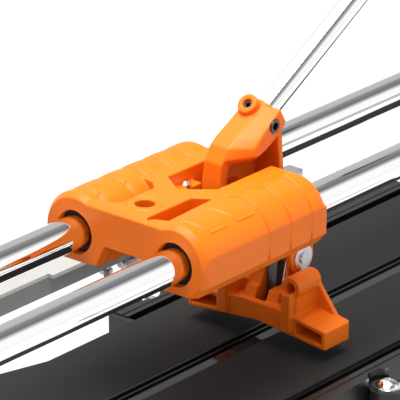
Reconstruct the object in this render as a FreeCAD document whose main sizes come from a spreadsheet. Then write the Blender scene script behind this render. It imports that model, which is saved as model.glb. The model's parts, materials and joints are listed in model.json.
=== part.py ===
import FreeCAD, Part
import Sketcher
import math
import os
import re

# Manual tile cutter: a scoring carriage with a lever and a breaker foot slides on two round
# rails above a padded table.  +X runs along the rails towards the lever end, +Y to the far
# side, +Z up.  The origin is the middle of the footprint on the surface it stands on.

NEAR = -1
FAR = 1

doc = FreeCAD.newDocument("TileCutter")
sheet = doc.addObject("Spreadsheet::Sheet", "Dims")

DIMENSIONS = {
    # table and base
    "base_length": 1000, "base_waist": 87.1, "base_end_half": 111, "waist_half_length": 226,
    "flare_end": 307, "table_height": 45, "pad_thickness": 4, "foot_height": 8,
    "tray_wall": 4, "pad_half_length": 440, "cut_line": -5.3, "strip_width": 9.3,
    "strip_gap": 11, "channel_width": 23.7, "channel_start": -127, "channel_end": 224,
    # rails
    "rail_radius": 12.5, "rail_offset": 46.5, "axis_height": 166.3, "bracket_width": 45,
    # carriage
    "carriage_front": -246, "carriage_length": 137, "barrel_radius": 29, "carriage_side": 74,
    "web_top": 27, "web_bottom": -5, "sole": -22, "front_bevel": 5, "bore_radius": 16.2,
    "nose_inset": 3.2, "nose_drop": 3.5, "screw_seat": 16,
    "bore_recess": 9, "bush_length": 24, "running_gap": 0.05, "top_hole_radius": 7.35,
    # lever
    "pivot_along": 128, "pivot_up": 2, "pin_radius": 5, "tube_radius": 8.5, "tube_bore": 6.5,
    "tube_length": 400, "tube_start": 136, "tube_root": 45.8, "tube_tilt": 29.5,
    "grip_length": 125, "grip_radius": 14.5,
    # scoring wheel and breaker foot
    "wheel_along": 171, "wheel_up": -104.5, "wheel_radius": 9, "axle_radius": 2,
    "hinge_along": 177, "hinge_up": -58.5, "wing_reach": 66, "foot_bottom": -111.6,
    # side supports
    "post_along": -85.2, "post_across": 118.9, "post_radius": 14.2, "arm_reach": 131,
    "arm_thickness": 13, "arm_level": 12, "bar_width": 30, "bar_height": 18,
    "bar_length": 350, "shelf_top": 33, "link_along": -18, "link_across": 10, "bolt_radius": 4,
    # measuring fence
    "fence_along": -372, "fence_length": 170,
}
for row, (alias, number) in enumerate(DIMENSIONS.items(), start=1):
    sheet.set(f"A{row}", alias)
    sheet.set(f"B{row}", str(number))
    sheet.setAlias(f"B{row}", alias)
doc.recompute()

parts = {}


# --- small helpers --------------------------------------------------------------------------

def linked(expression):
    """Point every sheet name in the expression at the sheet."""
    return re.sub(r"[a-z][a-z_]+", lambda word: "Dims." + word.group(0), str(expression))


def size(expression):
    """The present value of an expression of sheet names."""
    return float(sheet.evalExpression(linked(expression)))


def bind(thing, field, expression):
    thing.setExpression(field, linked(expression))


def place(thing, x=0, y=0, z=0):
    for axis, expression in zip("xyz", (x, y, z)):
        bind(thing, f"Placement.Base.{axis}", expression)
    return thing


def box(name, x, y, z):
    """A block from three (low, high) pairs."""
    block = doc.addObject("Part::Box", name)
    for field, (low, high) in zip(("Length", "Width", "Height"), (x, y, z)):
        bind(block, field, f"({high}) - ({low})")
    return place(block, x[0], y[0], z[0])


TURN = {
    "X": FreeCAD.Rotation(FreeCAD.Vector(0, 1, 0), 90),
    "Y": FreeCAD.Rotation(FreeCAD.Vector(1, 0, 0), -90),
    "Z": FreeCAD.Rotation(),
}


def rod(name, axis, start, radius, length):
    """A cylinder from a start point along X, Y or Z."""
    cylinder = doc.addObject("Part::Cylinder", name)
    cylinder.Placement.Rotation = TURN[axis]
    bind(cylinder, "Radius", radius)
    bind(cylinder, "Height", length)
    return place(cylinder, *start)


def cone(name, axis, start, first_radius, last_radius, length):
    frustum = doc.addObject("Part::Cone", name)
    frustum.Placement.Rotation = TURN[axis]
    bind(frustum, "Radius1", first_radius)
    bind(frustum, "Radius2", last_radius)
    bind(frustum, "Height", length)
    return place(frustum, *start)


def fuse(name, *shapes):
    joined = doc.addObject("Part::MultiFuse", name)
    joined.Shapes = list(shapes)
    return joined


def cut(name, base, *tools):
    result = doc.addObject("Part::Cut", name)
    result.Base = base
    result.Tool = tools[0] if len(tools) == 1 else fuse(name + "Tools", *tools)
    return result


def mirrored(name, source, x=0, y=1):
    copy = doc.addObject("Part::Mirroring", name)
    copy.Source = source
    copy.Normal = FreeCAD.Vector(x, y, 0)
    return copy


def outline_sketch(body, name, plane, points, offset=0):
    """A closed polygon whose corners are bound to the sheet, on one of the body's planes."""
    sketch = body.newObject("Sketcher::SketchObject", name)
    support = [item for item in body.Origin.OriginFeatures if item.Role == plane][0]
    sketch.AttachmentSupport = [(support, "")]
    sketch.MapMode = "FlatFace"
    bind(sketch, "AttachmentOffset.Base.z", offset)
    corners = [FreeCAD.Vector(size(u), size(v), 0) for u, v in points]
    count = len(corners)
    for index, corner in enumerate(corners):
        sketch.addGeometry(Part.LineSegment(corner, corners[(index + 1) % count]), False)
    for index in range(count):
        follower = (index + 1) % count
        sketch.addConstraint(Sketcher.Constraint("Coincident", index, 2, follower, 1))
    for index, (u, v) in enumerate(points):
        for kind, expression, value in (("DistanceX", u, corners[index].x),
                                        ("DistanceY", v, corners[index].y)):
            number = sketch.addConstraint(Sketcher.Constraint(kind, -1, 1, index, 1, value))
            sketch.setExpression(f"Constraints[{number}]", linked(expression))
    return sketch


def plate(name, plane, points, length, offset=0):
    """A PartDesign body: a polygon padded away from its plane.

    XY points are (x, y) padded along +Z, XZ points are (x, z) padded along -Y, and YZ points
    are (y, z) padded along +X."""
    body = doc.addObject("PartDesign::Body", name)
    sketch = outline_sketch(body, name + "Outline", plane, points, offset)
    pad = body.newObject("PartDesign::Pad", name + "Pad")
    pad.Profile = sketch
    bind(pad, "Length", length)
    doc.recompute()
    return body


def loft(name, plane, first, first_offset, last, last_offset):
    """A PartDesign body lofted between two outlines on parallel planes."""
    body = doc.addObject("PartDesign::Body", name)
    bottom = outline_sketch(body, name + "First", plane, first, first_offset)
    top = outline_sketch(body, name + "Last", plane, last, last_offset)
    feature = body.newObject("PartDesign::AdditiveLoft", name + "Loft")
    feature.Profile = bottom
    feature.Sections = [top]
    return body


def rounded(name, shape, radius, wanted):
    """Round the edges that the wanted test picks."""
    doc.recompute()
    chosen = [index + 1 for index, edge in enumerate(shape.Shape.Edges) if wanted(edge)]
    result = doc.addObject("Part::Fillet", name)
    result.Base = shape
    result.Edges = [(index, radius, radius) for index in chosen]
    return result


def along(edge, axis):
    """True for a straight edge that runs along the axis."""
    if edge.Curve.TypeId != "Part::GeomLine":
        return False
    direction = edge.tangentAt(edge.FirstParameter)
    return abs(abs(getattr(direction, axis)) - 1) < 1e-6


def keep(node, shape):
    """Register a finished sub-part under the name of its node."""
    shape.Label = node
    parts[node] = shape
    return shape


def on_carriage(node, shape):
    """A sub-part drawn from the carriage's front plane, midway between the rail axes."""
    return keep(node, place(shape, "carriage_front", "cut_line", "axis_height"))


# --- table ----------------------------------------------------------------------------------

def waisted(inset, side, length):
    """Half of the waisted base outline on one side, from the front end to the rear end."""
    points = [(f"-{length}", f"{side} * (base_end_half - {inset})"),
              ("-flare_end", f"{side} * (base_end_half - {inset})"),
              ("-waist_half_length", f"{side} * (base_waist - {inset})"),
              ("waist_half_length", f"{side} * (base_waist - {inset})"),
              ("flare_end", f"{side} * (base_end_half - {inset})"),
              (length, f"{side} * (base_end_half - {inset})")]
    return points


def bracket_bolt_spots():
    """Where the four bolts of each end bracket go through the tray."""
    return [(f"{sign} * (base_length / 2 - bracket_width / 2) + {step} * bracket_width / 4",
             f"cut_line + {side} * 70")
            for sign in (-1, 1) for side in (NEAR, FAR) for step in (-1, 1)]


def base_tray():
    outer = waisted("0", FAR, "base_length / 2") + waisted("0", NEAR, "base_length / 2")[::-1]
    inner_length = "(base_length / 2 - tray_wall)"
    inner = waisted("tray_wall", FAR, inner_length) + waisted("tray_wall", NEAR, inner_length)[::-1]
    depth = "table_height - pad_thickness - foot_height"
    body = plate("Tray", "XY_Plane", outer, depth)
    sketch = outline_sketch(body, "TrayHollow", "XY_Plane", inner)
    pocket = body.newObject("PartDesign::Pocket", "TrayPocket")
    pocket.Profile = sketch
    bind(pocket, "Length", f"{depth} - tray_wall")
    pocket.Reversed = True
    holes = [rod(f"TrayHole{index}", "Z", (*spot, "table_height - pad_thickness - 10"),
                 "bolt_radius + 0.2", 20)
             for index, spot in enumerate(bracket_bolt_spots())]
    keep("base_tray", cut("TrayDrilled", place(body, 0, 0, "foot_height"), *holes))


def table_pads():
    level = "table_height - pad_thickness"
    near_edge = ("pad_half_length", "cut_line - strip_width / 2")
    front = waisted("0", NEAR, "pad_half_length") + [near_edge, ("-" + near_edge[0], near_edge[1])]
    body = plate("FrontPad", "XY_Plane", front, "pad_thickness")
    keep("front_pad", place(body, 0, 0, level))
    far_edge = ("pad_half_length", "cut_line + strip_width / 2 + strip_gap")
    rear = waisted("0", FAR, "pad_half_length") + [far_edge, ("-" + far_edge[0], far_edge[1])]
    body = plate("RearPad", "XY_Plane", rear, "pad_thickness")
    keep("rear_pad", place(body, 0, 0, level))


def breaking_strip():
    half = "strip_width / 2"
    section = [(f"-{half}", "0"), (half, "0"), (half, "pad_thickness - 0.8"),
               (f"{half} - 0.8", "pad_thickness"), (f"0.8 - {half}", "pad_thickness"),
               (f"-{half}", "pad_thickness - 0.8")]
    body = plate("Strip", "YZ_Plane", section, "2 * pad_half_length")
    keep("breaking_strip", place(body, "-pad_half_length", "cut_line",
                                 "table_height - pad_thickness"))


def strip_channel():
    """The black profile beside the strip: a floor, a thin rib and an edge against the pad."""
    section = [("0.1", "0"), ("strip_gap - 0.1", "0"), ("strip_gap - 0.1", "pad_thickness"),
               ("strip_gap - 1.1", "pad_thickness"), ("strip_gap - 1.1", "0.8"),
               ("5.6", "0.8"), ("5.6", "pad_thickness - 0.5"), ("4.4", "pad_thickness - 0.5"),
               ("4.4", "0.8"), ("0.1", "0.8")]
    body = plate("StripChannel", "YZ_Plane", section, "2 * pad_half_length")
    keep("strip_channel", place(body, "-pad_half_length", "cut_line + strip_width / 2",
                                "table_height - pad_thickness"))


def side_channel(node, side):
    """A black profile along the waist with a deep slot, notched for the post and its bracket.

    The near one is the far one turned half round, so it lies further to the front."""
    edge = "channel_width"
    top = "table_height - foot_height - 0.6"
    section = [("0.1", "0"), (edge, "0"), (edge, top), (f"{edge} - 8.4", top),
               (f"{edge} - 9.0", f"{top} - 1.2"), (f"{edge} - 9.8", f"{top} - 1.2"),
               (f"{edge} - 10.4", top), (f"{edge} - 14.8", top), (f"{edge} - 14.8", "6"),
               ("2.4", "6"), ("2.4", f"{top} - 1.5"), ("0.1", f"{top} - 1.5")]
    start, post = ("channel_start", "post_along - channel_start")
    if side == NEAR:
        start, post = ("-channel_end", "post_along + channel_end")
    profile = plate(node.title().replace("_", ""), "YZ_Plane", section,
                    "channel_end - channel_start")
    notch = rod(node + "Notch", "Z", (post, "post_across - base_waist", -1),
                "post_radius + 0.6", "table_height + 2")
    seat = box(node + "Seat", (f"{post} - 9.3", f"{post} + 9.3"), (-1, "channel_width + 1"),
               (-1, "shelf_top - foot_height + 0.3"))
    shape = cut(node + "Notched", profile, notch, seat)
    if side == NEAR:
        shape = mirrored(node + "Near", shape)
    keep(node, place(shape, start, f"{side} * base_waist", "foot_height"))


def channel_end_caps():
    """Cast caps that close both ends of the side channels."""
    caps = []
    for side, front, rear in ((FAR, "channel_start", "channel_end"),
                              (NEAR, "-channel_end", "-channel_start")):
        y_pair = (f"{side} * (base_waist + 1.3)", f"{side} * (base_waist + channel_width)")
        if side == NEAR:
            y_pair = y_pair[::-1]
        for end, low, high in (("Front", -5, 0), ("Rear", 0, 1.6)):
            x = front if end == "Front" else rear
            caps.append(box(f"Cap{end}{side + 1}", (f"{x} + {low}", f"{x} + {high}"), y_pair,
                            ("foot_height", "table_height - 1.4")))
    keep("channel_end_caps", fuse("CapGroup", *caps))


def rubber_feet():
    feet = []
    for index, (x, y) in enumerate(((-1, -1), (-1, 1), (1, -1), (1, 1))):
        centre = (f"{x} * (base_length / 2 - 45)", f"{y} * 82", 0)
        feet.append(cone(f"Foot{index}", "Z", centre, 15, 13, "foot_height"))
    keep("rubber_feet", fuse("FootGroup", *feet))


def rail_bracket(node, sign):
    """A cast end bracket: a footed portal with a split boss round each rail."""
    near_x = f"{sign} * (base_length / 2)"
    far_x = f"{sign} * (base_length / 2 - bracket_width)"
    x = (far_x, near_x) if sign > 0 else (near_x, far_x)
    floor = "table_height - pad_thickness"
    shapes = [box(node + "Sill", x, ("cut_line - 78", "cut_line + 78"), (floor, f"{floor} + 12"))]
    top_bar = box(node + "Bar", x, ("cut_line - rail_offset", "cut_line + rail_offset"),
                  ("axis_height - 16", "axis_height + 12"))
    shapes.append(top_bar)
    tools = []
    for side in (NEAR, FAR):
        across = f"cut_line + {side} * rail_offset"
        shapes.append(rod(f"{node}Boss{side + 1}", "X", (x[0], across, "axis_height"), 23,
                          "bracket_width"))
        shapes.append(box(f"{node}Leg{side + 1}", x, (f"{across} - 16", f"{across} + 16"),
                          (floor, "axis_height - 8")))
        tools.append(rod(f"{node}Bore{side + 1}", "X", (f"{x[0]} - 1", across, "axis_height"),
                         "rail_radius + running_gap", "bracket_width + 2"))
        tools.append(rod(f"{node}Screw{side + 1}", "Z",
                         (f"({x[0]} + {x[1]}) / 2", across, "axis_height + rail_radius + 1"),
                         "bolt_radius + 0.1", 20))
    for index, spot in enumerate(bracket_bolt_spots()):
        if size(spot[0]) * sign > 0:
            tools.append(rod(f"{node}Hole{index}", "Z", (*spot, f"{floor} - 1"),
                             "bolt_radius + 0.2", 20))
    keep(node, cut(node + "Cast", fuse(node + "Blank", *shapes), *tools))


def bracket_fasteners():
    """Cap screws that clamp the rails, and bolts that hold the brackets to the tray."""
    screws = []
    for sign in (-1, 1):
        middle = f"{sign} * (base_length / 2 - bracket_width / 2)"
        for side in (NEAR, FAR):
            name = f"Clamp{sign + 1}{side + 1}"
            across = f"cut_line + {side} * rail_offset"
            shank = rod(name, "Z", (middle, across, "axis_height + rail_radius + 1.2"),
                        "bolt_radius", 12)
            head = rod(name + "Head", "Z", (middle, across, "axis_height + 23.1"), 6.5, 7)
            socket = rod(name + "Socket", "Z", (middle, across, "axis_height + 26"), 2.6, 6)
            screws.append(cut(name + "Screw", fuse(name + "Blank", shank, head), socket))
    keep("rail_clamp_screws", fuse("ClampScrewGroup", *screws))
    bolts = []
    for index, spot in enumerate(bracket_bolt_spots()):
        level = "table_height - pad_thickness + 12"
        stud = rod(f"SillBolt{index}", "Z", (*spot, f"{level} - 16.3"), "bolt_radius", 17)
        cap = rod(f"SillBoltCap{index}", "Z", (*spot, f"{level} + 0.1"), 6.5, 5)
        bolts.append(fuse(f"SillBoltSolid{index}", stud, cap))
    keep("bracket_bolts", fuse("BracketBoltGroup", *bolts))


def rails():
    for node, side in (("near_rail", NEAR), ("far_rail", FAR)):
        bar = rod(node + "Bar", "X", ("-base_length / 2", f"cut_line + {side} * rail_offset",
                                      "axis_height"), "rail_radius", "base_length")
        chamfered = doc.addObject("Part::Chamfer", node + "Ends")
        doc.recompute()
        chamfered.Base = bar
        ends = [index + 1 for index, edge in enumerate(bar.Shape.Edges) if not along(edge, "x")]
        chamfered.Edges = [(index, 1.2, 1.2) for index in ends]
        keep(node, place(chamfered))


# --- side supports --------------------------------------------------------------------------

def side_support(prefix, side):
    """A swinging arm with a parallel link under it carries a bar that stays along the base."""
    across = f"{side} * post_across"
    swing = math.radians(45)
    shift = f"arm_reach * {math.sin(swing):.6f}"
    reach = f"{side} * arm_reach * {math.cos(swing):.6f}"
    tip = (f"post_along + {shift}", f"{across} + {reach}")
    arm_top = "(arm_level + arm_thickness)"
    turn = FreeCAD.Rotation(FreeCAD.Vector(0, 0, 1), side * 45)

    post = rod(prefix + "Post", "Z", ("post_along", across, f"{arm_top} + 0.4"), "post_radius",
               f"table_height - 9 - {arm_top}")
    post_hole = rod(prefix + "PostHole", "Z", ("post_along", across, 0), "bolt_radius + 0.05",
                    "table_height")
    inner = f"{side} * (base_waist + 0.2)"
    wall_y = (inner, f"{side} * (base_waist + 17)")
    reach_y = (inner, across)
    if side == NEAR:
        wall_y, reach_y = wall_y[::-1], reach_y[::-1]
    seat_x = ("post_along - 9", "post_along + 9")
    link_spot = ("post_along + link_along", f"{side} * (post_across + link_across)")
    wall = box(prefix + "Wall", seat_x, wall_y, (4.6, "shelf_top"))
    tongue = box(prefix + "Tongue", seat_x, reach_y, (4.6, 7.6))
    shelf = box(prefix + "Shelf", seat_x, reach_y, (f"{arm_top} + 0.4", "shelf_top"))
    eye = rod(prefix + "PostEye", "Z", ("post_along", across, 4.6), 9, 3)
    link_eye = rod(prefix + "LinkEye", "Z", (*link_spot, 4.6), 7, 3)
    ear_y = sorted((across, link_spot[1]), key=size)
    ear = box(prefix + "Ear", ("post_along + link_along", "post_along"), ear_y, (4.6, 7.6))
    link_hole = rod(prefix + "LinkHole", "Z", (*link_spot, 0), 2.55, 12)
    bracket = fuse(prefix + "BracketBlank", post, wall, tongue, shelf, eye, link_eye, ear)
    keep(f"{prefix}_post_bracket", cut(prefix + "Bracket", bracket, post_hole, link_hole))

    shank = rod(prefix + "Shank", "Z", ("post_along", across, 3), "bolt_radius",
                "table_height - 11.5")
    washer = rod(prefix + "Washer", "Z", ("post_along", across, "table_height - 8.5"), 11.6, 1.2)
    dome = doc.addObject("Part::Sphere", prefix + "Dome")
    dome.Radius = 11
    place(dome, "post_along", across, "table_height - 13.6")
    dome_keep = rod(prefix + "DomeKeep", "Z", ("post_along", across, "table_height - 7.4"), 8.6, 6)
    crown = doc.addObject("Part::Common", prefix + "Crown")
    crown.Base = dome
    crown.Tool = dome_keep
    hexagon = rod(prefix + "Hex", "Z", ("post_along", across, "table_height - 5"), 2.9, 6)
    bolt = cut(prefix + "PostBolt", fuse(prefix + "PostBoltBlank", shank, washer, crown), hexagon)
    keep(f"{prefix}_post_bolt", bolt)

    arm_bar = box(prefix + "ArmBar", (0, "arm_reach"), (-8, 8), (0, "arm_thickness"))
    arm_root = rod(prefix + "ArmRoot", "Z", (0, 0, 0), 12.5, "arm_thickness")
    arm_tip = rod(prefix + "ArmTip", "Z", ("arm_reach", 0, 0), 11, "arm_thickness")
    groove = box(prefix + "ArmGroove", (24, "arm_reach - 22"), (-5, 5), ("arm_thickness - 2", 20))
    bores = [rod(prefix + "ArmBore", "Z", (0, 0, -1), "bolt_radius + 0.05", 20),
             rod(prefix + "ArmTipBore", "Z", ("arm_reach", 0, -1), "bolt_radius + 0.05", 20)]
    arm = cut(prefix + "Arm", fuse(prefix + "ArmBlank", arm_bar, arm_root, arm_tip), groove,
              *bores)
    arm.Placement.Rotation = turn
    keep(f"{prefix}_arm", place(arm, "post_along", across, "arm_level"))

    link_bar = box(prefix + "LinkBar", (0, "arm_reach"), (-2.5, 2.5), (0, 3))
    link_ends = [rod(f"{prefix}LinkEnd{index}", "Z", (x, 0, 0), 5.5, 3)
                 for index, x in enumerate((0, "arm_reach"))]
    link_pin = rod(prefix + "LinkPin", "Z", (0, 0, -3.4), 2.5, 4)
    link_bore = rod(prefix + "LinkBore", "Z", ("arm_reach", 0, -1), 2.55, 6)
    link = cut(prefix + "Link", fuse(prefix + "LinkBlank", link_bar, *link_ends, link_pin),
               link_bore)
    link.Placement.Rotation = turn
    keep(f"{prefix}_link", place(link, *link_spot, 8))

    bar_z = ("table_height - bar_height", "table_height - 3.2")
    half = "bar_width / 2"
    bar_x = (f"{tip[0]} - bar_length / 2", f"{tip[0]} + bar_length / 2")
    bar = box(prefix + "Bar", bar_x, (f"{tip[1]} - {half}", f"{tip[1]} + {half}"), bar_z)
    hollow = box(prefix + "BarHollow", (f"{bar_x[0]} - 1", f"{bar_x[1]} + 1"),
                 (f"{tip[1]} - {half} + 3", f"{tip[1]} + {half} - 3"),
                 ("table_height - bar_height + 3", "table_height - 6.2"))
    bar_bore = rod(prefix + "BarBore", "Z", (tip[0], tip[1], 0), "bolt_radius", 31)
    stud_bore = rod(prefix + "StudBore", "Z", (f"{tip[0]} + link_along",
                                               f"{tip[1]} + {side} * link_across", 0), 2.5, 31)
    keep(f"{prefix}_bar", cut(prefix + "BarCut", bar, hollow, bar_bore, stud_bore))

    lip = f"{tip[1]} - {side} * ({half} + 5)"
    back = f"{tip[1]} + {side} * {half}"
    cover_y = (lip, back) if side > 0 else (back, lip)
    cover = box(prefix + "Cover", (f"{bar_x[0]} + 62", bar_x[1]), cover_y,
                ("table_height - 3.1", "table_height"))
    narrow_y = (f"{tip[1]} - {half}", f"{tip[1]} + {half}")
    narrow = box(prefix + "CoverNarrow", (bar_x[0], f"{bar_x[0]} + 62"), narrow_y,
                 ("table_height - 3.1", "table_height"))
    keep(f"{prefix}_bar_cover", fuse(prefix + "CoverBoth", cover, narrow))

    bolt_shank = rod(prefix + "TipShank", "Z", (tip[0], tip[1], 8.2), "bolt_radius", 25)
    bolt_head = rod(prefix + "TipHead", "Z", (tip[0], tip[1], 5.2), 7, 3)
    nut = rod(prefix + "TipNut", "Z", (tip[0], tip[1], "table_height - bar_height + 3.1"), 7, 4)
    tip_bolt = fuse(prefix + "TipBolt", bolt_shank, bolt_head, nut)
    stud_spot = (f"{tip[0]} + link_along", f"{tip[1]} + {side} * link_across")
    stud = rod(prefix + "LinkStud", "Z", (*stud_spot, 7.8), 2.5, "table_height - bar_height - 6")
    collar = rod(prefix + "LinkCollar", "Z", (*stud_spot, 11.4), 3,
                 "table_height - bar_height - 11.4")
    link_stud = fuse(prefix + "LinkStudSolid", stud, collar)
    keep(f"{prefix}_bar_bolts", fuse(prefix + "TipBolts", tip_bolt, link_stud))


# --- measuring fence ------------------------------------------------------------------------

def measuring_fence():
    """A ruler that swivels on a stud at the front of the table and is locked by a knob."""
    top = "table_height + 0.3"
    bar = box("FenceBar", (-11, 11), ("-fence_length / 2", "fence_length / 2"), (0, 9))
    step = box("FenceStep", (5, 12), ("-fence_length / 2 - 1", "fence_length / 2 + 1"), (5.5, 10))
    hub = rod("FenceHub", "Z", (-4, 0, 0), 15, 9)
    bore = rod("FenceBore", "Z", (-4, 0, -1), "bolt_radius + 0.05", 12)
    fence = cut("Fence", fuse("FenceBlank", bar, hub), step, bore)
    keep("measuring_fence", place(fence, "fence_along + 4", "cut_line", top))
    stud = rod("FenceStud", "Z", ("fence_along", "cut_line", "table_height + 0.05"), "bolt_radius", 26)
    flange = rod("FenceFlange", "Z", ("fence_along", "cut_line", "table_height"), 4.6, 0.25)
    keep("fence_stud", fuse("FenceStudSolid", stud, flange))
    crown = rod("KnobCrown", "Z", (0, 0, 0), 13, 12)
    lobes = [rod(f"KnobLobe{index}", "Z",
                 (13.5 * math.cos(index * math.pi / 3), 13.5 * math.sin(index * math.pi / 3), -1),
                 3.2, 14) for index in range(6)]
    knob_bore = rod("KnobBore", "Z", (0, 0, -1), "bolt_radius + 0.05", 18)
    knob = cut("Knob", crown, *lobes, knob_bore)
    keep("fence_knob", place(knob, "fence_along", "cut_line", "table_height + 9.6"))


# --- carriage -------------------------------------------------------------------------------

def carriage_shell():
    """Two barrels joined by a web, with a bevelled front face and an open underside."""
    side, flat = "carriage_side", "-12"
    section = [(f"-{side}", "9"), (f"-{side}", flat), ("-65", "sole"), ("-25", "sole"),
               ("-17", "web_bottom"), ("17", "web_bottom"), ("25", "sole"), ("65", "sole"),
               (side, flat), (side, "9"), ("36", "web_top"), ("-36", "web_top")]
    length = "carriage_length - front_bevel"
    shapes = [plate("CarriageSection", "YZ_Plane", section, length, "front_bevel")]
    inset = f"({side} - nose_inset)"
    face = [(f"-{inset}", "6"), (f"-{inset}", flat), ("-62", "sole + 1"),
            ("-26", "sole + 1"), ("-18", "web_bottom + 1"), ("18", "web_bottom + 1"),
            ("26", "sole + 1"), ("62", "sole + 1"), (inset, flat),
            (inset, "6"), ("34", "web_top - nose_drop"), ("-34", "web_top - nose_drop")]
    shapes.append(loft("CarriageNose", "YZ_Plane", face, 0, section, "front_bevel"))
    for index, across in enumerate(("-rail_offset", "rail_offset")):
        shapes.append(cone(f"BarrelNose{index}", "X", (0, across, 0),
                           "barrel_radius - nose_inset", "barrel_radius", "front_bevel"))
        shapes.append(rod(f"Barrel{index}", "X", ("front_bevel", across, 0), "barrel_radius",
                          "carriage_length - front_bevel - 4"))
        shapes.append(cone(f"BarrelTail{index}", "X", ("carriage_length - 4", across, 0),
                           "barrel_radius", "barrel_radius - 2.5", 4))
    around = [("-carriage_side - 9", "40"), ("-carriage_side", "40"), ("-carriage_side", flat),
              ("-65", "sole"), ("65", "sole"), ("carriage_side", flat), ("carriage_side", "40"),
              ("carriage_side + 9", "40"), ("carriage_side + 9", "-40"),
              ("-carriage_side - 9", "-40")]
    trim = plate("CarriageTrim", "YZ_Plane", around, "carriage_length + 4", -2)
    return cut("CarriageTrimmed", fuse("CarriageBlank", *shapes), trim)


def carriage_hollows():
    """Bores, the top hole, the two top pockets, the lever window and the open underside."""
    tools = []
    for index, across in enumerate(("-rail_offset", "rail_offset")):
        tools.append(rod(f"CarriageBore{index}", "X", (-1, across, 0), "bore_radius",
                         "carriage_length + 2"))
    tools.append(rod("TopHole", "Z", (23.4, 0, "web_bottom - 1"), "top_hole_radius", 40))
    ring = cut("TopRing", rod("RingOuter", "Z", (23.4, 0, "web_top - 0.5"), 13.6, 2),
               rod("RingInner", "Z", (23.4, 0, "web_top - 1"), 12.7, 4))
    tools.append(ring)
    scoop = plate("Scoop", "XY_Plane", [("6", "36"), ("9", "22"), ("14", "14.5"), ("50", "14.5"),
                                        ("57", "22"), ("60", "36")], 40, 4)
    barrel = rod("ScoopBarrel", "X", (0, "rail_offset", 0), "barrel_radius + 0.1",
                 "carriage_length")
    tools.append(cut("ScoopFar", scoop, barrel))
    pocket = [("3", "-18.5"), ("52", "-18.5"), ("61", "-31"), ("10", "-33.5")]
    tools.append(plate("DeepPocket", "XY_Plane", pocket, 30, 5))
    window = [("59", "0"), ("73", "21"), ("138", "21"), ("138", "-22"), ("77", "-22")]
    tools.append(plate("LeverWindow", "XY_Plane", window, 60, "sole - 1"))
    belly = [("-15", "web_bottom - 20"), ("-15", "14"), ("15", "14"), ("15", "web_bottom - 20")]
    tools.append(plate("Belly", "YZ_Plane", belly, 40, 18))
    return tools


def carriage_grooves():
    """Fine rings round both barrels, and angled marks on the front half of the near one."""
    tools = []
    for side in (NEAR, FAR):
        for index, x in enumerate((15, 44, 72, 96, 120)):
            if side == NEAR and index < 2:
                continue
            name = f"Groove{side + 1}{index}"
            across = f"{side} * rail_offset"
            outer = rod(name + "Outer", "X", (f"{x} - 0.6", across, 0), "barrel_radius + 0.4", 1.2)
            inner = rod(name + "Inner", "X", (f"{x} - 1.6", across, 0), "barrel_radius - 0.55", 3.2)
            tools.append(cut(name, outer, inner))
            flat_y = ("-carriage_side - 1", "-carriage_side + 0.5")
            if side == FAR:
                flat_y = ("carriage_side - 0.5", "carriage_side + 1")
            tools.append(box(name + "Flat", (f"{x} - 0.6", f"{x} + 0.6"), flat_y, (-12, 9.4)))
    return tools


WINDOW_SCREWS = ((87.5, 16.8), (96.6, -12.6))


def carriage_body():
    body = cut("CarriageCut", carriage_shell(), *carriage_hollows(), *carriage_grooves())
    cheeks = []
    for index, (low, high) in enumerate(((-22.5, -16.4), (13.4, 21.5))):
        cheek = box(f"Cheek{index}", (112, 137), (low, high), (-18, 14))
        pin_hole = rod(f"CheekHole{index}", "Y", ("pivot_along", f"{low} - 12", "pivot_up"),
                       "pin_radius + 0.02", 40)
        cheeks.append(cut(f"CheekBored{index}", cheek, pin_hole))
    shelf = box("WindowShelf", (72, 101), (-22.5, 21.5), (10, "screw_seat"))
    shelf_holes = [rod(f"ShelfHole{index}", "Z", (*spot, 5), 2.1, 20)
                   for index, spot in enumerate(WINDOW_SCREWS)]
    shelf_gap = box("ShelfGap", (82.5, 105), (-9, 12.9), (0, 20))
    bored_shelf = cut("ShelfBored", shelf, *shelf_holes, shelf_gap)
    on_carriage("carriage_body", fuse("CarriageWhole", body, *cheeks, bored_shelf))


def dome_screw(name, spot, seat):
    """A screw along Z whose stepped head rests on its seat level."""
    return fuse(name, rod(name + "Shank", "Z", (*spot, f"{seat} - 5.5"), 2, 6.5),
                rod(name + "Rim", "Z", (*spot, seat), 4.1, 2),
                cone(name + "Crown", "Z", (*spot, f"{seat} + 2"), 4.1, 2.2, 2.6))


def carriage_fittings():
    bushes = []
    wipers = []
    for index, (across, x) in enumerate((a, b) for a in ("-rail_offset", "rail_offset")
                                        for b in ("bore_recess",
                                                  "carriage_length - bore_recess - bush_length")):
        outer = rod(f"Bush{index}", "X", (x, across, 0), "bore_radius", "bush_length")
        inner = rod(f"BushBore{index}", "X", (f"{x} - 1", across, 0),
                    "rail_radius + running_gap", "bush_length + 2")
        bushes.append(cut(f"BushRing{index}", outer, inner))
        start = f"{x} - 3" if index % 2 == 0 else f"{x} + bush_length"
        lip = rod(f"Wiper{index}", "X", (start, across, 0), "bore_radius", 3)
        lip_bore = rod(f"WiperBore{index}", "X", (f"{start} - 1", across, 0),
                       "rail_radius + 0.1", 5)
        wipers.append(cut(f"WiperRing{index}", lip, lip_bore))
    on_carriage("rail_bushes", fuse("BushGroup", *bushes))
    on_carriage("rail_wipers", fuse("WiperGroup", *wipers))

    screws = []
    for index, spot in enumerate(WINDOW_SCREWS):
        screws.append(dome_screw(f"WindowScrew{index}", spot, "screw_seat + 0.02"))
    on_carriage("carriage_screws", fuse("WindowScrews", *screws))

    on_carriage("lever_pivot_pin", cut(
        "PivotPin", rod("PivotPinRod", "Y", ("pivot_along", -21.9, "pivot_up"), "pin_radius", 42.8),
        rod("PivotPinDrill", "Y", ("pivot_along", -23, "pivot_up"), 1.5, 6)))


# --- lever ----------------------------------------------------------------------------------

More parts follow.
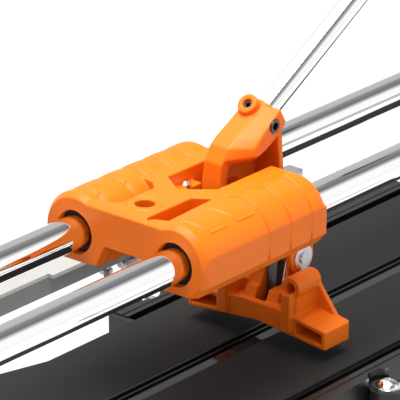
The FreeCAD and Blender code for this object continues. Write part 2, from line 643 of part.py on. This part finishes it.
def slab(name, points, low, high):
    """A padded XZ outline between two Y levels."""
    return plate(name, "XZ_Plane", points, f"({high}) - ({low})", f"-({high})")


def along_tube(name, distance, radius, length, last_radius=None):
    """A round piece on the tube axis, measured from the lower end of the tube."""
    tilt = math.radians(size("tube_tilt"))
    start = (f"tube_start + ({distance}) * {math.cos(tilt):.6f}", 0,
             f"tube_root + ({distance}) * {math.sin(tilt):.6f}")
    if last_radius is None:
        piece = rod(name, "Z", start, radius, length)
    else:
        piece = cone(name, "Z", start, radius, last_radius, length)
    piece.Placement.Rotation = FreeCAD.Rotation(FreeCAD.Vector(0, 1, 0), 90 - size("tube_tilt"))
    return piece


def aimed(name, tip, direction, radius, length, inset=0):
    """A cylinder that ends at a tip point, its axis pointing out along a direction."""
    axis = FreeCAD.Vector(*direction).normalize()
    piece = rod(name, "Z", [f"{value} - ({length} + {inset}) * {step:.6f}"
                            for value, step in zip(tip, axis)], radius, length)
    piece.Placement.Rotation = FreeCAD.Rotation(FreeCAD.Vector(0, 0, 1), axis)
    return piece


CLAMP_TIP = (140, 3.5, 68)
CLAMP_AXIS = (-0.7, 0, 0.714)


def lever_casting():
    """Strap, tube socket, hub, rear wall and the two plates that carry the breaker foot."""
    strap = [("95", "-4"), ("97.5", "-4"), ("98.6", "11"), ("99.6", "20"), ("101.6", "33"),
             ("108.5", "43"), ("116.6", "49"), ("137.7", "59"), ("143", "50"), ("121", "40"),
             ("112", "33"), ("108.5", "20"), ("107.5", "6"), ("118", "2"), ("118", "-10"),
             ("98", "-12")]
    full = [("104", "35"), ("108.7", "43.5"), ("117", "49.2"), ("131", "56"), ("149", "66.5"),
            ("157.5", "55"), ("156.5", "46"), ("150", "36"), ("143", "27"), ("131", "25"),
            ("112", "30")]
    narrow = [("121", "37.5"), ("121.8", "43.2"), ("127", "48"), ("134.4", "54.6"),
              ("150.6", "66"), ("157.2", "54.5"), ("154.5", "51"), ("151", "48.5"),
              ("143", "44"), ("133", "39"), ("125", "36")]
    wall = [("150.5", "50"), ("155.8", "50"), ("158.5", "19"), ("163", "-8"), ("163", "-26"),
            ("157", "-26"), ("153.5", "19")]
    web = [("128", "-9"), ("161", "-14"), ("161", "-6"), ("135", "10"), ("128", "12")]
    arm = [("157", "-6"), ("166", "-8"), ("189.5", "-32"), ("190.5", "-58.5"),
           ("163.5", "-58.5"), ("157", "-26")]
    cheek = [("100", "-8"), ("160", "-8"), ("155", "46"), ("118", "46"), ("101", "24")]
    shapes = [slab("Strap", strap, -5, 12), slab("SocketBlock", full, -5, 12),
              loft("SocketSide", "XZ_Plane", full, 5, narrow, 20),
              slab("RearWall", wall, -17, 15), slab("HubWeb", web, -12, 12),
              rod("Hub", "Y", ("pivot_along", -15.9, "pivot_up"), 11, 28.8),
              slab("FarCheek", cheek, 8, 12.5),
              along_tube("Socket", 6, 12, 19),
              aimed("ClampBoss", CLAMP_TIP, CLAMP_AXIS, 8, 15)]
    for index, low in enumerate((-20.4, 16.6)):
        shapes.append(slab(f"FootArm{index}", arm, low, low + 3.8))
        shapes.append(rod(f"FootEye{index}", "Y", ("hinge_along", low, "hinge_up"), 13.5, 3.8))
    shapes.append(slab("ArmTie", [("157", "-6"), ("163", "-8"), ("170", "-20"), ("164", "-26"),
                                  ("157", "-26")], -17, 17))
    tools = [along_tube("SocketBore", 0, "tube_radius + running_gap", 60),
             rod("HubBore", "Y", ("pivot_along", -30, "pivot_up"), "pin_radius + running_gap", 60),
             aimed("ClampBore", CLAMP_TIP, CLAMP_AXIS, 3.7, 20, -1),
             rod("SideBushBore", "Y", (143.6, -21, 54.7), 4.75, 9),
             rod("FootBolt", "Y", ("hinge_along", -30, "hinge_up"), 4.02, 60)]
    on_carriage("lever_casting", cut("LeverCast", fuse("LeverBlank", *shapes), *tools))


def lever_fittings():
    tube = cut("TubeShell", along_tube("Tube", 0, "tube_radius", "tube_length"),
               along_tube("TubeBore", "-1", "tube_bore", "tube_length + 2"))
    on_carriage("lever_tube", tube)

    grip_start = "tube_length - grip_length"
    shapes = [along_tube("GripBarrel", grip_start, "grip_radius - 1", "grip_length + 3"),
              along_tube("GripCollar", grip_start, "grip_radius + 1.5", 5),
              along_tube("GripFlare", f"{grip_start} + 5", "grip_radius + 1.5", 8,
                         "grip_radius - 1")]
    for index in range(9):
        shapes.append(along_tube(f"GripRing{index}", f"{grip_start} + {20 + 11 * index}",
                                 "grip_radius", 6))
    grip = cut("Grip", fuse("GripBlank", *shapes),
               along_tube("GripBore", f"{grip_start} - 1", "tube_radius", "grip_length + 1"))
    on_carriage("lever_grip", grip)
    cap = fuse("EndCapSolid", along_tube("EndCapPlug", "tube_length - 8", "tube_bore", 8),
               along_tube("EndCapCore", "tube_length - 0.5", "tube_bore - 1", 0.5))
    on_carriage("tube_end_plug", cap)

    screw = cut("ClampScrew", aimed("ClampScrewBody", CLAMP_TIP, CLAMP_AXIS, 3.7, 6.2, 2.5),
                aimed("ClampScrewSocket", CLAMP_TIP, CLAMP_AXIS, 2, 4, 2.4))
    on_carriage("tube_clamp_screw", screw)
    bush = cut("SideBush", rod("SideBushOuter", "Y", (143.6, -20.6, 54.7), 4.75, 8.4),
               rod("SideBushHole", "Y", (143.6, -21, 54.7), 3, 10))
    on_carriage("lever_side_bush", bush)
    block = [("162.02", "-2"), ("184", "-2"), ("184", "8"), ("160.36", "8")]
    on_carriage("rear_stop_block", slab("StopBlock", block, -14, -1))


def scoring_unit():
    """The holder that hangs from the lever between the foot's ears, its axle and the wheel."""
    holder = [("164", "-27"), ("170", "-27"), ("184", "-48"), ("186", "-62"), ("179", "-92"),
              ("176", "-109"), ("166", "-109"), ("165", "-92"), ("168", "-62"), ("163", "-40")]
    slot = box("HolderSlot", (150, 190), (-1.8, 1.8), (-115, "wheel_up + wheel_radius + 1.5"))
    bores = [rod("AxleBore", "Y", ("wheel_along", -10, "wheel_up"), "axle_radius", 20),
             rod("HolderEye", "Y", ("hinge_along", -10, "hinge_up"), "bolt_radius + 0.02", 20)]
    on_carriage("wheel_holder", cut("HolderCut", slab("Holder", holder, -4, 4), slot, *bores))
    on_carriage("wheel_axle", cut(
        "Axle", rod("AxlePin", "Y", ("wheel_along", -4.4, "wheel_up"), "axle_radius", 8.8),
        rod("AxleDimple", "Y", ("wheel_along", -5, "wheel_up"), 0.6, 1)))
    disc = fuse("WheelDisc",
                cone("WheelNear", "Y", ("wheel_along", -1.5, "wheel_up"), "wheel_radius - 2.2",
                     "wheel_radius", 1.5),
                cone("WheelFar", "Y", ("wheel_along", 0, "wheel_up"), "wheel_radius",
                     "wheel_radius - 2.2", 1.5))
    wheel = cut("Wheel", disc, rod("WheelBore", "Y", ("wheel_along", -5, "wheel_up"),
                                   "axle_radius + running_gap", 10))
    on_carriage("scoring_wheel", wheel)


def breaker_foot():
    """A casting with two wings, hinged under the rear of the lever, split round the wheel."""
    wings = [("-wing_reach", "foot_bottom"), ("0", "foot_bottom + 7"),
             ("wing_reach", "foot_bottom"), ("wing_reach", "foot_bottom + 15"),
             ("18", "-90"), ("-18", "-90"), ("-wing_reach", "foot_bottom + 15")]
    shapes = [rounded("Wings", plate("WingBlank", "YZ_Plane", wings, 30, 147), 2.5,
                      lambda edge: along(edge, "z"))]
    column = [("152", "-95"), ("166", "-70"), ("166", "-58.5"), ("188", "-58.5"),
              ("186", "-76"), ("177", "-95")]
    for name, low, high in (("Near", -16, -12.8), ("Far", 5.4, 16)):
        shapes.append(slab(f"Column{name}", column, low, high))
        shapes.append(rod(f"FootHub{name}", "Y", ("hinge_along", low, "hinge_up"), 11,
                          high - low))
    base = [("150", "-96"), ("156", "-82"), ("177", "-82"), ("177", "-96")]
    shapes.append(slab("ColumnBase", base, -16, 16))
    tools = [rod("FootHubBore", "Y", ("hinge_along", -20, "hinge_up"), "bolt_radius + running_gap",
                 50),
             box("WheelGap", (152.5, 190), (-5.2, 5.2), (-120, -60))]
    for side in (NEAR, FAR):
        name = f"Wing{side + 1}"
        centre = 30.4 * side
        shapes.append(rod(name + "Boss", "X", (150, centre, -72), 8.5, 27))
        low, high = sorted((centre - 7 * side, centre + 6 * side))
        shapes.append(box(name + "Post", (150, 177), (low, high), (-95, -74)))
        shapes.append(box(name + "Rib", (144, 151), (centre - 4.2, centre + 4.2), (-106, -74)))
        shapes.append(box(name + "Tie", (160, 177), sorted((14 * side, centre)), (-90, -80)))
        gusset = [(f"{centre}", "-72"), (f"{side * 38.5}", "-73"), (f"{side * 56}", "-96"),
                  (f"{centre}", "-96")]
        shapes.append(plate(name + "Gusset", "YZ_Plane", gusset, 4, 173))
        pocket = [(f"{side * 62}", "-107.8"), (f"{side * 62}", "-99.8"), (f"{side * 38}", "-96"),
                  (f"{side * 38}", "-105.3")]
        tools.append(plate(name + "Pocket", "YZ_Plane", pocket, 18, 146))
        tools.append(rod(name + "Hole", "X", (140, centre, -72), "bolt_radius + 0.05", 50))
    on_carriage("breaker_foot", cut("FootCast", fuse("FootBlank", *shapes), *tools))


def foot_fittings():
    bolt = fuse("FootPin", rod("FootPinShank", "Y", ("hinge_along", -21.6, "hinge_up"),
                               "bolt_radius", 43.2),
                rod("FootPinHead", "Y", ("hinge_along", -23.2, "hinge_up"), 4.6, 1.6),
                rod("FootPinTail", "Y", ("hinge_along", 21.6, "hinge_up"), 4.6, 1.6))
    on_carriage("foot_pivot_bolt", bolt)
    rings = []
    for index, y in enumerate((-21.5, 20.45)):
        rings.append(cut(f"FootWasher{index}", rod(f"FootWasherDisc{index}", "Y",
                                                   ("hinge_along", y, "hinge_up"), 10, 1.05),
                         rod(f"FootWasherHole{index}", "Y", ("hinge_along", y - 1, "hinge_up"),
                             "bolt_radius + 0.02", 4)))
    on_carriage("foot_washers", fuse("FootWashers", *rings))

    hinge = FreeCAD.Vector(size("hinge_along"), -11.6, size("hinge_up"))
    coil = Part.makeHelix(1.9, 5.7, 7)
    profile = Part.Wire(Part.makeCircle(0.8, FreeCAD.Vector(7, 0, 0), FreeCAD.Vector(0, 1, 0)))
    wire = Part.Wire(coil).makePipeShell([profile], True, True)
    wire.Placement = FreeCAD.Placement(hinge, TURN["Y"])
    upper_leg = Part.makeCylinder(0.8, 31, hinge + FreeCAD.Vector(-7, 5.7, 0),
                                  FreeCAD.Vector(0, 0, 1))
    lower_leg = Part.makeCylinder(0.8, 24, hinge + FreeCAD.Vector(-7, 0, 0),
                                  FreeCAD.Vector(-0.25, 0, -0.97))
    spring = doc.addObject("Part::Feature", "TorsionSpring")
    spring.Shape = wire.multiFuse([upper_leg, lower_leg])
    on_carriage("torsion_spring", spring)


def build():
    base_tray()
    table_pads()
    breaking_strip()
    strip_channel()
    side_channel("rear_side_channel", FAR)
    side_channel("front_side_channel", NEAR)
    channel_end_caps()
    rubber_feet()
    rail_bracket("front_rail_bracket", -1)
    rail_bracket("rear_rail_bracket", 1)
    bracket_fasteners()
    rails()
    side_support("near", NEAR)
    side_support("far", FAR)
    measuring_fence()
    carriage_body()
    carriage_fittings()
    lever_casting()
    lever_fittings()
    scoring_unit()
    breaker_foot()
    foot_fittings()


def export():
    """Recompute, look for faults and write one file per sub-part."""
    doc.recompute()
    for item in doc.Objects:
        if "Invalid" in item.State or "Error" in item.State:
            raise RuntimeError(f"{item.Name} ({item.Label}) failed: {item.State}")
    os.makedirs("parts", exist_ok=True)
    for node, part in parts.items():
        shape = part.Shape
        if shape.isNull() or not shape.isValid():
            raise RuntimeError(f"{node} has no valid shape")
        shape.exportStep(f"parts/{node}.step")
        print(node, len(shape.Solids), "solids", round(shape.Volume / 1000, 1), "cm3")


build()
export()
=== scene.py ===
import json
import math

import bpy
import numpy as np
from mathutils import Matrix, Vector


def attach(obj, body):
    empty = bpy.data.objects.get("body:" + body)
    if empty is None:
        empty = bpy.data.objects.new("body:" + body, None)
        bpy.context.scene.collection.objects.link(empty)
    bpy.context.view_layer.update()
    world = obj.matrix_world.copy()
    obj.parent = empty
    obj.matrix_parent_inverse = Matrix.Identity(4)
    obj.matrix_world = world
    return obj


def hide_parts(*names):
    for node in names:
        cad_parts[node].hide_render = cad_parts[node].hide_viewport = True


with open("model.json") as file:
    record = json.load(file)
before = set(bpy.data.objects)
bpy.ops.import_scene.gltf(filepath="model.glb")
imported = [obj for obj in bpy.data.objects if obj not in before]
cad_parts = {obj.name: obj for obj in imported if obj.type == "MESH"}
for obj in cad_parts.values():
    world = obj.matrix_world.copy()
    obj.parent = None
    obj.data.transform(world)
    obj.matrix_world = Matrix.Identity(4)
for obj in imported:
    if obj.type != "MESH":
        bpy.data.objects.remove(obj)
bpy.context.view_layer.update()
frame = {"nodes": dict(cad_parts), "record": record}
nodes = frame["nodes"]
MM = 0.001

# --- camera ---------------------------------------------------------------------------------

CAMERA_PLACE = Vector((-2.0041, -1.5591, 1.1555))
CAMERA_AZIMUTH = -49.845
CAMERA_ELEVATION = 22.1
CAMERA_LENS = 326.2


def make_camera():
    camera = bpy.data.objects.new("camera", bpy.data.cameras.new("camera"))
    bpy.context.scene.collection.objects.link(camera)
    camera.data.lens = CAMERA_LENS
    camera.data.sensor_width = 36
    camera.data.clip_end = 50
    camera.location = CAMERA_PLACE
    camera.rotation_euler = (math.radians(90 - CAMERA_ELEVATION), 0, math.radians(CAMERA_AZIMUTH))
    bpy.context.scene.camera = camera


# --- materials ------------------------------------------------------------------------------

# Noise values mostly lie between these two.
NOISE_LOW = 0.3
NOISE_HIGH = 0.7
ROUGHNESS_SPREAD = 0.06
# A noise stretch that draws the grain of drawn and ground bars out along the rails.
ALONG_RAILS = (0.05, 1, 1)


class Look:
    """A node material with short calls for the nodes that the finishes below share."""

    def __init__(self, name, color, roughness, metallic=0.0, **sockets):
        self.material = bpy.data.materials.new(name)
        self.material.use_nodes = True
        self.tree = self.material.node_tree
        self.shader = self.tree.nodes["Principled BSDF"]
        self.set("Base Color", (*color, 1))
        self.set("Roughness", roughness)
        self.set("Metallic", metallic)
        for socket, value in sockets.items():
            self.set(socket.replace("_", " "), value)
        self.color = color

    def set(self, socket, value):
        self.shader.inputs[socket].default_value = value

    def node(self, kind, **values):
        node = self.tree.nodes.new(kind)
        for socket, value in values.items():
            node.inputs[socket.replace("_", " ")].default_value = value
        return node

    def link(self, source, target):
        self.tree.links.new(source, target)

    def noise(self, scale, detail=4.0, stretch=None):
        """Noise in object space, so it doesn't slide or stretch with the view."""
        place = self.node("ShaderNodeTexCoord").outputs["Object"]
        noise = self.node("ShaderNodeTexNoise", Scale=scale, Detail=detail)
        if stretch is not None:
            mapping = self.node("ShaderNodeMapping", Scale=stretch)
            self.link(place, mapping.inputs["Vector"])
            place = mapping.outputs["Vector"]
        self.link(place, noise.inputs["Vector"])
        return noise.outputs["Fac"]

    def ranged(self, source, low, high):
        """The usual spread of a noise, stretched to run from low to high."""
        remap = self.node("ShaderNodeMapRange", From_Min=NOISE_LOW, From_Max=NOISE_HIGH,
                          To_Min=low, To_Max=high)
        self.link(source, remap.inputs["Value"])
        return remap.outputs["Result"]

    def vary_roughness(self, source, low, high):
        self.link(self.ranged(source, low, high), self.shader.inputs["Roughness"])

    def vary_color(self, source, dark, light):
        """Scale the base colour between two brightness factors."""
        mix = self.tree.nodes.new("ShaderNodeMixRGB")
        mix.inputs["Color1"].default_value = (*[value * dark for value in self.color], 1)
        mix.inputs["Color2"].default_value = (*[value * light for value in self.color], 1)
        self.link(self.ranged(source, 0, 1), mix.inputs["Fac"])
        self.link(mix.outputs["Color"], self.shader.inputs["Base Color"])

    def bump(self, source, distance):
        bump = self.node("ShaderNodeBump", Distance=distance, Strength=1.0)
        self.link(source, bump.inputs["Height"])
        self.link(bump.outputs["Normal"], self.shader.inputs["Normal"])


def orange_paint(name="orange_paint", color=(0.74, 0.147, 0.004)):
    look = Look(name, color, 0.40, Specular_IOR_Level=0.22)
    look.vary_roughness(look.noise(60), 0.36, 0.46)
    look.vary_color(look.noise(25, 2), 0.97, 1.03)
    look.bump(look.noise(900), 0.00003)
    return look.material


def table_mat():
    look = Look("pad_rubber", (0.015, 0.015, 0.016), 0.8, Specular_IOR_Level=0.2)
    look.vary_color(look.noise(2600, 2), 0.75, 1.25)
    look.bump(look.noise(2600, 2), 0.0002)
    return look.material


def polished(name, color, low, high, metallic=1.0, stretch=None):
    look = Look(name, color, low, metallic)
    look.vary_roughness(look.noise(40, 4, stretch), low, high)
    return look.material


def moulded(name, color, roughness, grain=700):
    look = Look(name, color, roughness)
    look.vary_roughness(look.noise(50), roughness - ROUGHNESS_SPREAD, roughness + ROUGHNESS_SPREAD)
    look.bump(look.noise(grain), 0.00004)
    return look.material


def make_looks():
    return {
        "orange_paint": orange_paint(),
        "bush_orange": orange_paint("bush_orange", (0.62, 0.12, 0.012)),
        "black_paint": moulded("black_paint", (0.010, 0.010, 0.010), 0.32),
        "pad_rubber": table_mat(),
        "foot_rubber": moulded("foot_rubber", (0.008, 0.008, 0.008), 0.7, 1500),
        "grip_rubber": moulded("grip_rubber", (0.015, 0.015, 0.015), 0.6, 1500),
        "black_plastic": moulded("black_plastic", (0.006, 0.006, 0.006), 0.30),
        "knob_plastic": moulded("knob_plastic", (0.012, 0.012, 0.012), 0.3),
        "grey_strip": polished("grey_strip", (0.016, 0.016, 0.017), 0.05, 0.09, 0.0, ALONG_RAILS),
        "grey_casting": moulded("grey_casting", (0.17, 0.175, 0.18), 0.5),
        "aluminium": polished("aluminium", (0.47, 0.48, 0.49), 0.35, 0.45, 0.4),
        "chrome": polished("chrome", (0.97, 0.97, 0.97), 0.015, 0.03, 1.0, ALONG_RAILS),
        "steel": polished("steel", (0.72, 0.72, 0.74), 0.22, 0.32),
        "dark_steel": polished("dark_steel", (0.10, 0.10, 0.11), 0.3, 0.4, 0.9),
    }


def dress_nodes(looks):
    for entry in frame["record"]["subparts"]:
        mesh = nodes[entry["node"]].data
        mesh.materials.clear()
        mesh.materials.append(looks[entry["material_slot"]])


# --- castings -------------------------------------------------------------------------------

CASTING_SLOT = "orange_paint"


def cast(node, body, cell, rounds, looks):
    """A copy of a CAD node with the soft edges of a sand casting.

    The copy is rebuilt from cells of the given size and smoothed, which rounds every edge.
    """
    piece = bpy.data.objects.new(node + "_cast", nodes[node].data.copy())
    bpy.context.scene.collection.objects.link(piece)
    remesh = piece.modifiers.new("cells", "REMESH")
    remesh.mode = "VOXEL"
    remesh.voxel_size = cell
    smooth = piece.modifiers.new("smooth", "SMOOTH")
    smooth.factor = 0.5
    smooth.iterations = rounds
    graph = bpy.context.evaluated_depsgraph_get()
    piece.data = bpy.data.meshes.new_from_object(piece.evaluated_get(graph))
    piece.modifiers.clear()
    piece.data.materials.clear()
    piece.data.materials.append(looks[CASTING_SLOT])
    piece.data.shade_smooth()
    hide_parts(node)
    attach(piece, body)
    return piece


# --- cast-in lines --------------------------------------------------------------------------

# Carriage drawing frame: millimetres from its front plane, the cut line and the rails' axis.
CARRIAGE_ORIGIN = np.array([-246.0, -5.3, 166.3])
RAIL_OFFSET = 46.5
BARREL_RADIUS = 29.0
TOP_HOLE_ALONG = 23.4
NEAR_RINGS = (72, 96, 120)
FAR_RINGS = (14, 42.5, 66, 90, 114)
CHEVRON = ((10.7, 4.0), (18.9, -19.2), (35.6, -19.2))
CHEVRON_STEP = 29.8
TICK = ((12.3, -6.0), (14.5, -10.5), (17.5, -8.0))
TICK_STEP = 28.5
# Depths go into the skin and heights out of it.  A width is how far a line fades out.
RING_DEPTH = 1.2
RING_WIDTH = 0.75
SCALLOP_DEPTH = 1.2
SCALLOP_ENDS = (-6, 140)
SCALLOPS_FROM = 8
RIDGE_HEIGHT = 0.95
RIDGE_WIDTH = 0.8
HOLE_RING_RADIUS = 13.1
HOLE_RING_DEPTH = 0.6
HOLE_RING_WIDTH = 0.7
SKIN_WIDTH = 1.6
TOP_FACE_FROM = 22


def bell(distance, width):
    """1 on a line, falling smoothly to nothing about a width away from it."""
    return np.exp(-(distance / width) ** 2)


def distance_to_path(along, round_way, path, shift):
    """Distance in the unrolled barrel surface to a path of straight stretches."""
    best = np.full(along.shape, 1e9)
    for (x0, s0), (x1, s1) in zip(path, path[1:]):
        x0, x1 = x0 + shift, x1 + shift
        length = (x1 - x0) ** 2 + (s1 - s0) ** 2
        part = ((along - x0) * (x1 - x0) + (round_way - s0) * (s1 - s0)) / length
        part = np.clip(part, 0, 1)
        gap = np.hypot(along - x0 - part * (x1 - x0), round_way - s0 - part * (s1 - s0))
        best = np.minimum(best, gap)
    return best


def barrel_relief(along, across, up, side):
    """Height change of one barrel's skin: rings and scallops go in, ridges stand out."""
    sideways = across - side * RAIL_OFFSET
    on_skin = bell(np.hypot(sideways, up) - BARREL_RADIUS, SKIN_WIDTH)
    round_way = BARREL_RADIUS * np.arctan2(sideways, up)
    relief = np.zeros(along.shape)
    for ring in NEAR_RINGS if side < 0 else FAR_RINGS:
        relief -= RING_DEPTH * bell(along - ring, RING_WIDTH)
    if side > 0:
        edges = np.array([SCALLOP_ENDS[0], *FAR_RINGS, SCALLOP_ENDS[1]])
        index = np.clip(np.searchsorted(edges, along) - 1, 0, len(edges) - 2)
        part = (along - edges[index]) / (edges[index + 1] - edges[index])
        dip = (1 - np.sin(math.pi * np.clip(part, 0, 1))) ** 2
        relief -= SCALLOP_DEPTH * dip * (along > SCALLOPS_FROM)
    path, step = (CHEVRON, CHEVRON_STEP) if side < 0 else (TICK, TICK_STEP)
    for shift in (0, step):
        gap = distance_to_path(along, round_way, path, shift)
        relief += RIDGE_HEIGHT * bell(gap, RIDGE_WIDTH)
    return relief * on_skin


def carve_carriage(piece):
    """Press the rings, scallops and ridges of the casting into the carriage's skin."""
    mesh = piece.data
    count = len(mesh.vertices)
    points = np.empty(count * 3)
    normals = np.empty(count * 3)
    mesh.vertices.foreach_get("co", points)
    mesh.vertices.foreach_get("normal", normals)
    points = points.reshape(-1, 3)
    normals = normals.reshape(-1, 3)
    along, across, up = (points / MM - CARRIAGE_ORIGIN).T
    relief = barrel_relief(along, across, up, -1) + barrel_relief(along, across, up, 1)
    from_hole = np.hypot(along - TOP_HOLE_ALONG, across)
    hole_ring = bell(from_hole - HOLE_RING_RADIUS, HOLE_RING_WIDTH)
    relief -= HOLE_RING_DEPTH * hole_ring * (up > TOP_FACE_FROM)
    points += normals * relief[:, None] * MM
    mesh.vertices.foreach_set("co", points.ravel())
    mesh.update()


# --- stage ----------------------------------------------------------------------------------

FLOOR_SIZE = 14
FLOOR_GREY = (0.06, 0.06, 0.06)
FLOOR_GLOW = 0.97


def make_floor():
    bpy.ops.mesh.primitive_plane_add(size=FLOOR_SIZE, location=(0, 0, 0))
    floor = bpy.context.object
    floor.name = "floor"
    look = Look("floor", FLOOR_GREY, 0.9, Emission_Color=(1, 1, 1, 1),
                Emission_Strength=FLOOR_GLOW, Specular_IOR_Level=0.0)
    floor.data.materials.append(look.material)


# Brightness of the room by angle round the rails' axis: 0 is the far horizon, 90 overhead and
# 180 the near horizon.  One set is met by what the rails mirror, the other by the lever tube.
RAIL_BANDS = ((0, 0.56), (62, 0.50), (76, 0.27), (108, 0.17), (120, 0.50), (134, 1.0), (180, 1.0))
TUBE_BANDS = ((0, 1.15), (95, 1.3), (110, 1.1), (116, 0.26), (126, 0.24), (140, 0.42), (156, 1.05),
              (180, 0.8))
# Brightness of the rest of the room by height: 0 is the horizon, 1 overhead.
SKY_BANDS = ((0.0, 0.24), (0.35, 0.32), (0.7, 1.2), (1.0, 1.7))
HALF_TURN = 180
# Where one set gives way to the next, by how far a direction points along the rails.
SKY_TO_TUBE = (-0.35, -0.12)
TUBE_TO_RAILS = (0.38, 0.52)


def ramp_of(tree, bands, full):
    """A grey ramp through (place, brightness) pairs, whose places run from 0 to full."""
    ramp = tree.nodes.new("ShaderNodeValToRGB")
    points = ramp.color_ramp.elements
    while len(points) < len(bands):
        points.new(0.5)
    for point, (place, value) in zip(points, bands):
        point.position = place / full
        point.color = (value, value, value, 1)
    return ramp


def blend(tree, value, start, end, before, after):
    """Colour that goes from one source to another as the value goes from start to end."""
    step = tree.nodes.new("ShaderNodeMapRange")
    step.inputs["From Min"].default_value = start
    step.inputs["From Max"].default_value = end
    mix = tree.nodes.new("ShaderNodeMixRGB")
    tree.links.new(value, step.inputs["Value"])
    tree.links.new(step.outputs["Result"], mix.inputs["Fac"])
    tree.links.new(before.outputs["Color"], mix.inputs["Color1"])
    tree.links.new(after.outputs["Color"], mix.inputs["Color2"])
    return mix


def make_world():
    world = bpy.data.worlds.new("studio")
    bpy.context.scene.world = world
    world.use_nodes = True
    tree = world.node_tree
    place = tree.nodes.new("ShaderNodeTexCoord")
    split = tree.nodes.new("ShaderNodeSeparateXYZ")
    angle = tree.nodes.new("ShaderNodeMath")
    angle.operation = "ARCTAN2"
    half_turn = tree.nodes.new("ShaderNodeMath")
    half_turn.operation = "DIVIDE"
    half_turn.inputs[1].default_value = math.pi
    rails, tube = (ramp_of(tree, bands, HALF_TURN) for bands in (RAIL_BANDS, TUBE_BANDS))
    sky = ramp_of(tree, SKY_BANDS, 1)
    tree.links.new(place.outputs["Generated"], split.inputs["Vector"])
    tree.links.new(split.outputs["Z"], angle.inputs[0])
    tree.links.new(split.outputs["Y"], angle.inputs[1])
    tree.links.new(angle.outputs["Value"], half_turn.inputs[0])
    tree.links.new(half_turn.outputs["Value"], rails.inputs["Fac"])
    tree.links.new(half_turn.outputs["Value"], tube.inputs["Fac"])
    tree.links.new(split.outputs["Z"], sky.inputs["Fac"])
    front = blend(tree, split.outputs["X"], *SKY_TO_TUBE, sky, tube)
    room = blend(tree, split.outputs["X"], *TUBE_TO_RAILS, front, rails)
    background = tree.nodes["Background"]
    tree.links.new(room.outputs["Color"], background.inputs["Color"])
    background.inputs["Strength"].default_value = 1.0


KEY_PLACE = Vector((-0.28, 0.10, 2.1))
KEY_TARGET = Vector((-0.15, 0, 0.15))
KEY_SIZE = 1.5
KEY_POWER = 88
WARM_WHITE = (1.0, 0.95, 0.82)


def make_key_light():
    light = bpy.data.objects.new("key", bpy.data.lights.new("key", "AREA"))
    bpy.context.scene.collection.objects.link(light)
    light.data.shape = "RECTANGLE"
    light.data.size = KEY_SIZE
    light.data.size_y = KEY_SIZE
    light.data.energy = KEY_POWER
    light.data.color = WARM_WHITE
    light.location = KEY_PLACE
    light.rotation_euler = (KEY_TARGET - KEY_PLACE).to_track_quat("-Z", "Y").to_euler()


# --- the scene ------------------------------------------------------------------------------

make_camera()
looks = make_looks()
dress_nodes(looks)
carve_carriage(cast("carriage_body", "carriage", 0.6 * MM, 9, looks))
cast("lever_casting", "lever", 0.5 * MM, 40, looks)
cast("breaker_foot", "foot", 0.6 * MM, 10, looks)
make_floor()
make_world()
make_key_light()
bpy.context.scene.view_settings.view_transform = "Standard"
